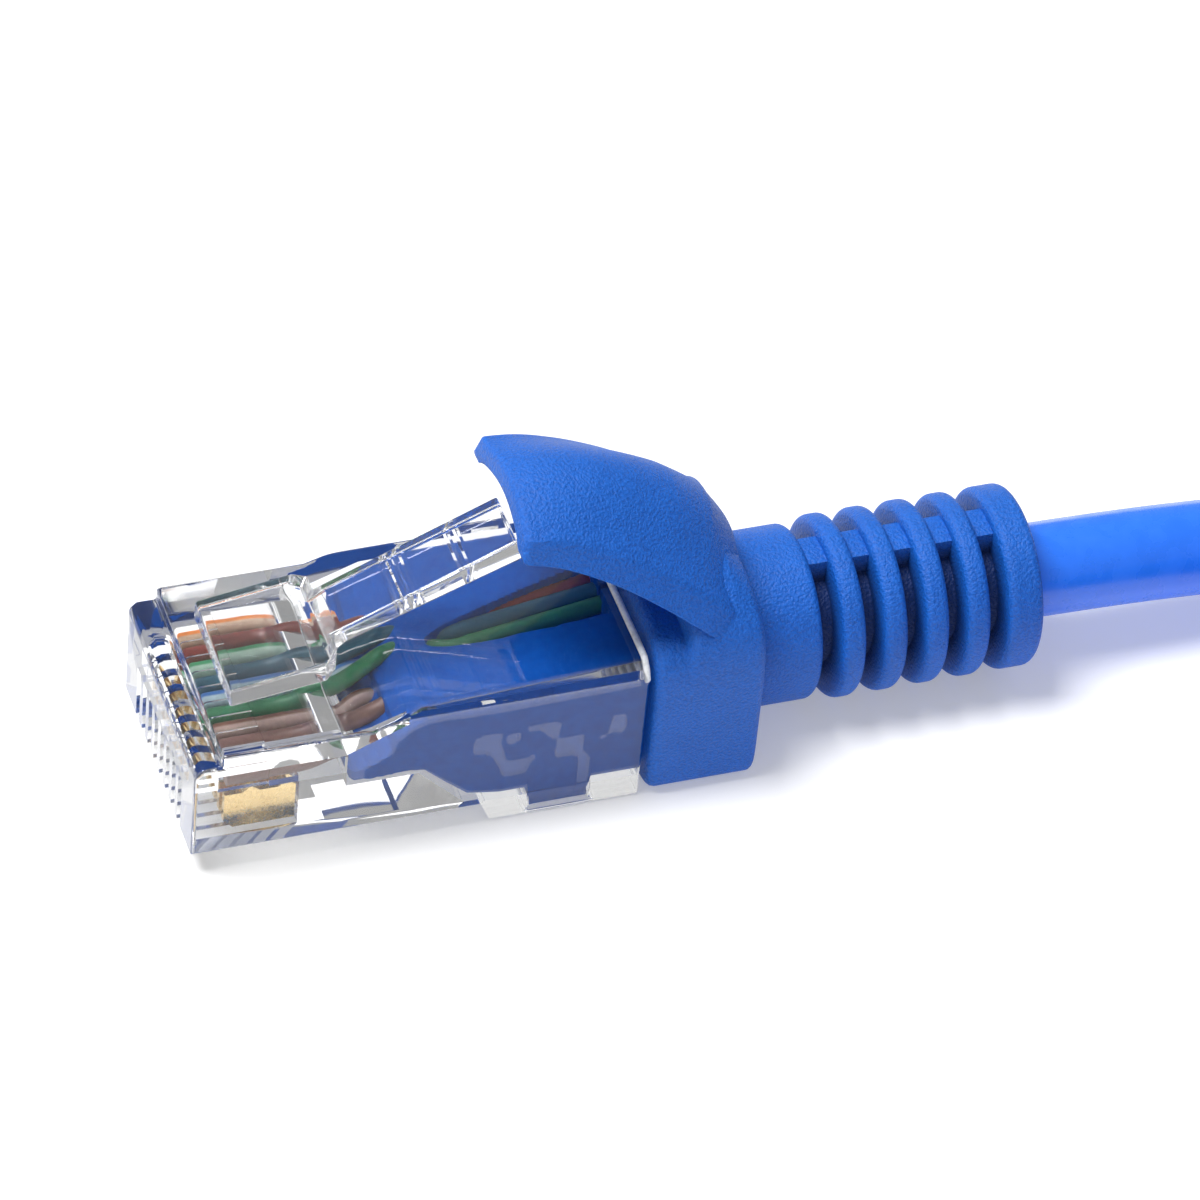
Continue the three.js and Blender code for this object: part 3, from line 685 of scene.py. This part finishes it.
# How far in from a ring's edge each station lies (below 0 between rings), and that ring's radius.
def ringProfile(x, v):
    table = ringTable(v)
    depth = np.minimum(x[:, None] - table[:, 0], table[:, 1] - x[:, None])
    nearest = depth.argmax(1)
    return depth.max(1), table[nearest, 2]


# Stations are even in plain stretches and close together at each edge, so that corners stay crisp.
def bootStations(v):
    table = ringTable(v)
    near = np.array([-0.09, -0.03, -0.001, 0.0, 0.012, 0.03, 0.06, 0.1, 0.16, 0.24, 0.34, 0.45])
    edges = np.concatenate([table[1:, :1] + near, table[:-1, 1:2] - near])
    front = v["front"] + np.array([0, 0.03, 0.08, 0.15, 0.25, 0.45])
    collar = np.linspace(v["front"] + 0.7, v["collarEnd"] - 0.7, 34)
    back = v["collarEnd"] - np.array([0.55, 0.45, 0.34, 0.24, 0.15, 0.08, 0.03, 0.0])
    neck = v["collarEnd"] + np.array([0.02, 0.1, 0.25, 0.5, 0.9, 1.5, 2.2, 3.0])
    sleeve = np.linspace(v["ringStart"] - 0.4, v["end"] - 0.5, 50)
    finish = v["end"] - np.array([0.4, 0.3, 0.2, 0.13, 0.08, 0.04, 0.015, 0.0])
    return np.unique(np.round(np.concatenate([front, collar, back, neck, edges.ravel(), sleeve, finish]), 4))


# The collar is a rounded box whose top rises behind the hood; it passes into a round neck, and the
# sleeve steps between ring, bridge and window radii by angle. The bore's lip turns in at the end.
def bootSurface(v):
    x = bootStations(v)
    angle = np.linspace(0, 2 * np.pi, v["around"], endpoint=False)
    rootRise = smoothStep(x, v["rootFrom"], v["rootFrom"] + v["rootBlend"])
    rootTop = np.interp(x, *np.array(v["rootLine"]).T)
    top = v["collarTop"] + (np.maximum(rootTop, v["collarTop"]) - v["collarTop"]) * rootRise
    fall = edgeFall(np.minimum(x - v["front"], v["collarEnd"] - x), v["edgeRound"])
    side = v["halfWidth"] - fall
    up = top - v["axis"] - fall
    slant = v["shoulder"] + v["shoulderRise"] * (top - v["collarTop"]) - fall
    down = v["axis"] - fall
    reaches = np.stack([side, slant, up, slant, side, down], -1)[:, None, :]
    power = np.full((len(x), 1), v["power"])
    box = roundedReach(angle[None, :], v["facings"], reaches, power)
    depth, ringRadius = ringProfile(x, v)
    crest = ringRadius - edgeFall(depth, v["round"])
    aside = np.abs(np.abs(np.degrees(angle) - 180) - 90)
    bridge = smoothStep(aside, v["bridgeHalf"] + v["bridgeEdge"], v["bridgeHalf"])
    between = v["windowRadius"] + (v["bridgeRadius"] - v["windowRadius"]) * bridge
    sleeve = np.where(depth[:, None] >= 0, crest[:, None], between[None, :])
    radius = np.where((x <= v["collarEnd"])[:, None], box, sleeve)
    lip = v["end"] - np.array(v["lipDepth"])
    inner = v["boreRadius"] + np.array(v["lipFlare"])
    x = np.concatenate([x, lip])
    radius = np.concatenate([radius, np.repeat(inner[:, None], v["around"], 1)])
    y = radius * np.cos(angle)
    z = v["axis"] + radius * np.sin(angle)
    return np.stack([np.broadcast_to(x[:, None], y.shape), y, z], -1)


# The point attribute inside, the strength of the painted shade, goes from 0 near the rings' rims to 1 at the
# windows' floor.
def makeBoot(end, material):
    v = bootValues
    surface = bootSurface(v)
    mesh = loftMesh("boot_sleeve_" + end, toFrame(surface, end), v["sharpOver"])
    reach = np.hypot(surface[..., 1], surface[..., 2] - v["axis"])
    # The painted shade begins paintedShadeStart below the rings' radius and is full at the windows' radius.
    inside = smoothStep(reach, v["ringRadius"] - v["paintedShadeStart"], v["windowRadius"])
    setAttribute(mesh, "inside", inside * (surface[..., 0] > v["neckEnd"]))
    boot = addPiece("boot_sleeve_" + end, mesh, material)
    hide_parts("boot_" + end)


# Hood: the springy flap, bent at its root, that arches forward over the latch.
hoodValues = {
    "line": [(26.6, 6.9), (26.35, 8.1), (25.5, 9.4), (24.1, 10.65), (22.4, 11.95), (20.7, 13.05),
             (19.0, 13.95), (17.4, 14.55), (15.75, 14.85)],
    "crown": [0.0, 0.4, 1.5, 2.15, 2.25, 2.05, 1.7, 1.2, 0.7],
    "halfTop": [4.6, 4.9, 4.9, 4.7, 4.4, 4.15, 3.9, 3.75, 3.65],
    "halfFoot": [5.2, 5.6, 5.65, 5.45, 5.15, 4.8, 4.5, 4.2, 4.0],
    "thick": [1.5, 1.5, 1.5, 1.5, 1.45, 1.4, 1.4, 1.4, 1.35],
    "hollow": 0.3, "hollowArch": 0.9, "lipWidth": 0.7, "steps": 90, "across": 14, "edgeRound": 0.3,
    "edgeFrom": 0.96, "edgeSteps": [0.8, 0.6, 0.42, 0.28, 0.16, 0.07, 0.0], "topShare": 0.955,
    "sideSteps": [0.06, 0.25, 0.5, 0.75, 0.94], "sideDrop": [0.82, 0.45, 0.0, -0.5, -0.86],
    "lipSteps": [0.12, 0.35, 0.55], "lipDrop": [1.0, 1.04, 1.0], "underShare": 0.97,
    "bendFrom": (24.6, 11.4), "bendTo": (22.6, 12.7), "sharpOver": 40,
}


# A section is a closed loop: a crowned top, slanted sides and a hollowed underside between two lips.
# It is carried along the hood's line, square to it, and drawn in a little at the front edge.
def hoodSurface(v):
    line = np.array(v["line"])
    given = np.linspace(0, 1, len(line))
    close = 1 - (1 - v["edgeFrom"]) * np.array(v["edgeSteps"])
    t = np.concatenate([np.linspace(0, v["edgeFrom"], v["steps"]), close])
    fine = np.stack([smoothCurve(t, given, line[:, k]) for k in (0, 1)], -1)
    run = np.gradient(fine, axis=0)
    run /= np.linalg.norm(run, axis=1, keepdims=True)
    normal = np.stack([run[:, 1], -run[:, 0]], -1)
    length = np.linalg.norm(np.diff(line, axis=0), axis=1).sum()
    fall = edgeFall((1 - t) * length, v["edgeRound"])
    top = np.interp(t, given, v["halfTop"]) - fall
    foot = np.interp(t, given, v["halfFoot"]) - fall
    half = np.interp(t, given, v["thick"]) / 2 - fall
    crown = np.interp(t, given, v["crown"])[:, None]
    s = np.linspace(-1, 1, v["across"] * 2 + 1)
    u = top[:, None] * s * v["topShare"]
    arch = 0.5 * (1 - s ** 2) + 0.5 * (1 - s ** 2) ** 2
    w = half[:, None] + crown * arch
    sideU = top[:, None] + (foot - top)[:, None] * np.array(v["sideSteps"])
    sideW = half[:, None] * np.array(v["sideDrop"])
    lipU = foot[:, None] - np.array(v["lipSteps"])
    lipW = -half[:, None] * np.array(v["lipDrop"])
    under = (foot[:, None] - v["lipWidth"]) * s[::-1] * v["underShare"]
    underW = -half[:, None] + v["hollow"] * (1 - s[::-1] ** 8) + v["hollowArch"] * crown * arch
    across = np.concatenate([u, sideU, lipU, under, -lipU[:, ::-1], -sideU[:, ::-1]], 1)
    away = np.concatenate([w, sideW, lipW, underW, lipW[:, ::-1], sideW[:, ::-1]], 1)
    x = fine[:, :1] + normal[:, :1] * away
    z = fine[:, 1:] + normal[:, 1:] * away
    return np.stack([x, across, z], -1)


# The hood is one lofted mesh in the end's place, baked there and left on no body.
def makeHood(end, material):
    v = hoodValues
    rings = hoodSurface(v)
    mesh = loftMesh("boot_flap_" + end, toFrame(rings, end), v["sharpOver"])
    hood = addPiece("boot_flap_" + end, mesh, material, None)
    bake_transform(hood)
    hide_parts("boot_hood_" + end)


wireMaterials = {pin: makeWireMaterial(pin) for pin in pins}
corePvc = grainedPlastic("blue core pvc", (0.003, 0.075, 0.40), (0.006, 0.11, 0.52), 0.45, 2500.0, 0.03,
                         250.0, **{"Specular IOR Level": 0.05})
# The rim's pale plastic is a painted highlight along the rear top edge.
paintedHighlight = grainedPlastic("frosted rim", (0.72, 0.74, 0.76), (0.95, 0.96, 0.97), 0.3, 4000.0, 0.2)
for end in ends:
    makeClearParts(end)
    makeRim(end, paintedHighlight)
    makeWires(end, wireMaterials)
    makeFilling(end, corePvc)
    makeBoot(end, bootPvc)
    makeHood(end, bootPvc)
    print("end", end, "made")


# Tie: a hook and loop strap round the coil.
tieValues = {
    "width": 0.0058, "thickness": 0.0005, "sideSlack": 0.0006, "angle": 240.0, "around": 160,
    "facings": [0, 40, 90, 140, 180, 270], "slant": 1.36, "power": 7.0,
    "edgeSides": 24, "flatPower": 0.3, "risePower": 0.6,
}


# The strap's path is the coil's rounded section, seen from the section's middle. A flat band is
# carried round it, its section a rounded oblong from powers of cosine and sine, and the whole is
# turned to its place on the coil.
def makeTie(v):
    low, high = np.array(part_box("cord_coil"))
    tieLow, tieHigh = np.array(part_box("cord_tie"))
    centre = (low + high) / 2
    mean = cordValues["meanRadius"] * mm
    reachUp = (tieHigh[2] - tieLow[2]) / 2 - v["thickness"] / 2
    reachSide = (high[0] - low[0]) / 2 - mean + v["sideSlack"]
    angle = np.linspace(0, 2 * np.pi, v["around"], endpoint=False)
    slant = reachUp * v["slant"]
    reaches = [reachSide, slant, reachUp, slant, reachSide, reachUp]
    radius = roundedReach(angle, v["facings"], reaches, np.array(v["power"]))
    out = np.stack([np.cos(angle), np.sin(angle)], -1)
    path = out * radius[:, None]
    run = np.roll(path, -1, 0) - np.roll(path, 1, 0)
    run /= np.linalg.norm(run, axis=1, keepdims=True)
    normal = np.stack([run[:, 1], -run[:, 0]], -1)
    edge = np.linspace(0, 2 * np.pi, v["edgeSides"], endpoint=False)
    flat = np.sign(np.cos(edge)) * np.abs(np.cos(edge)) ** v["flatPower"] * v["width"] / 2
    rise = np.sign(np.sin(edge)) * np.abs(np.sin(edge)) ** v["risePower"] * v["thickness"] / 2
    radial = mean + path[:, None, 0] + normal[:, None, 0] * rise
    z = (tieLow[2] + tieHigh[2]) / 2 + path[:, None, 1] + normal[:, None, 1] * rise
    turn = np.radians(v["angle"])
    x = centre[0] + radial * np.cos(turn) - flat * np.sin(turn)
    y = centre[1] + radial * np.sin(turn) + flat * np.cos(turn)
    points = np.stack([x, y, z], -1)
    rows, columns = points.shape[:2]
    i = np.arange(rows)[:, None]
    j = np.arange(columns)[None, :]
    nextRow = (i + 1) % rows * columns
    nextColumn = (j + 1) % columns
    quads = np.stack([i * columns + j, nextRow + j, nextRow + nextColumn, i * columns + nextColumn], -1)
    mesh = buildMesh("coil_strap", points.reshape(-1, 3), quads.reshape(-1, 4))
    strap = addPiece("coil_strap", mesh, strapCloth)
    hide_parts("cord_tie")
    return strap


strapCloth = grainedPlastic("woven strap", (0.012, 0.012, 0.016), (0.03, 0.03, 0.036), 0.85, 2500.0, 0.5)
strap = makeTie(tieValues)

farPieces = [bpy.data.objects[name + "_b"] for name in
             ("clear_housing", "clear_latch", "rear_rim", "moulded_core", "boot_sleeve", "boot_flap")]
farPieces += [bpy.data.objects["wire_b_" + str(pin)] for pin in pins]
farPieces += [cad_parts["contact_b_" + str(pin)] for pin in pins]
print("coil tied")


# Each light has its place, its size and its power.
studioValues = {
    "floorHalf": 4.0, "floorColour": (0.74, 0.74, 0.74), "floorGlow": 0.4, "worldStrength": 0.34,
    "bounces": 24, "diffuseBounces": 6, "aim": [20, 0, 5],
    "key": ((-0.3, 0.12, 0.75), 0.4, 9.0), "fill": ((-0.45, -0.7, 0.35), 0.5, 0.6),
}


# The floor is one pale square that glows a little, as a light table does, so that clear parts stay bright.
def makeFloor(v):
    half = v["floorHalf"]
    corners = np.array([[-half, -half, 0], [half, -half, 0], [half, half, 0], [-half, half, 0]], float)
    material = newMaterial("pale floor", **{
        "Roughness": 0.9, "Base Color": v["floorColour"], "Emission Color": v["floorColour"],
        "Emission Strength": v["floorGlow"], "Specular IOR Level": 0.1})[0]
    mesh = buildMesh("floor", corners, np.array([[0, 1, 2, 3]]))
    addPiece("floor", mesh, material, None)


# A square soft light at a place, facing the object.
def makeLight(name, place, size, power):
    data = bpy.data.lights.new(name, "AREA")
    data.size = size
    data.energy = power
    light = bpy.data.objects.new(name, data)
    aim = Vector(toFrame(studioValues["aim"], "a"))
    light.rotation_euler = (aim - Vector(place)).to_track_quat("-Z", "Y").to_euler()
    light.location = place
    bpy.context.scene.collection.objects.link(light)


# An even white world, two soft lights, and bounces enough for light to leave the clear plastic.
def makeStudio(v):
    world = bpy.data.worlds.new("studio")
    world.use_nodes = True
    world.node_tree.nodes["Background"].inputs["Color"].default_value = (1, 1, 1, 1)
    world.node_tree.nodes["Background"].inputs["Strength"].default_value = v["worldStrength"]
    bpy.context.scene.world = world
    bpy.context.scene.view_settings.view_transform = "Standard"
    for name in ("key", "fill"):
        makeLight(name, *v[name])
    cycles = bpy.context.scene.cycles
    cycles.max_bounces = v["bounces"]
    cycles.transmission_bounces = v["bounces"]
    cycles.glossy_bounces = v["bounces"]
    cycles.diffuse_bounces = v["diffuseBounces"]


makeFloor(studioValues)
makeStudio(studioValues)
print("studio lit")
